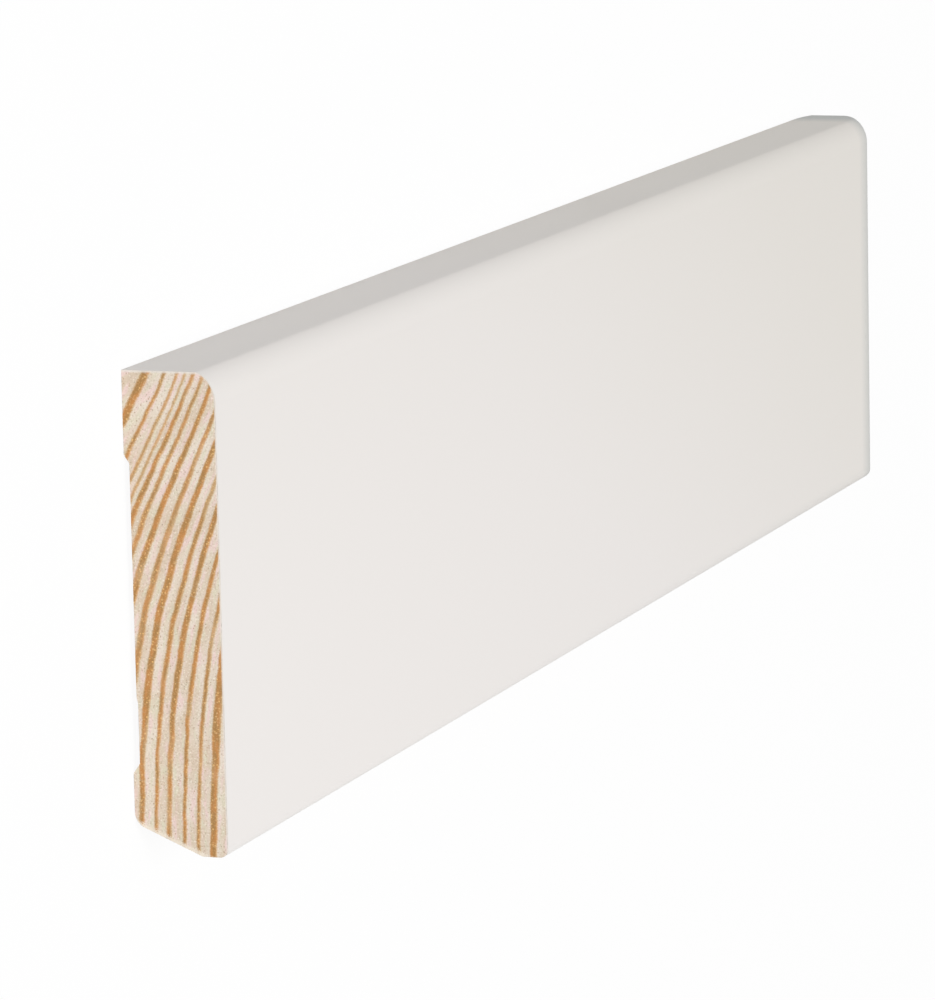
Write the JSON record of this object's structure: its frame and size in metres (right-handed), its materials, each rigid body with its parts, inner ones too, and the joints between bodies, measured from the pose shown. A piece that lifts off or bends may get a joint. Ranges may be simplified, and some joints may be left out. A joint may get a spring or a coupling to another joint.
{
  "type": "skirting board length",
  "caption": "Short length of painted softwood skirting board with a rounded top edge, an undercut foot and a shallow relief in the back, sawn square at one end.",
  "frame": {"origin": "centre of the board's footprint as it lies on its back, at the level of the two back lands", "axes": "+X along the board from the sawn end to the eased end, +Y from the foot to the top edge, +Z out of the painted front face"},
  "size_m": [0.34, 0.069, 0.014],
  "materials": {
    "board": "satin"
  },
  "bodies": {
    "root": {"skirting_board": "board"}
  },
  "joints": []
}
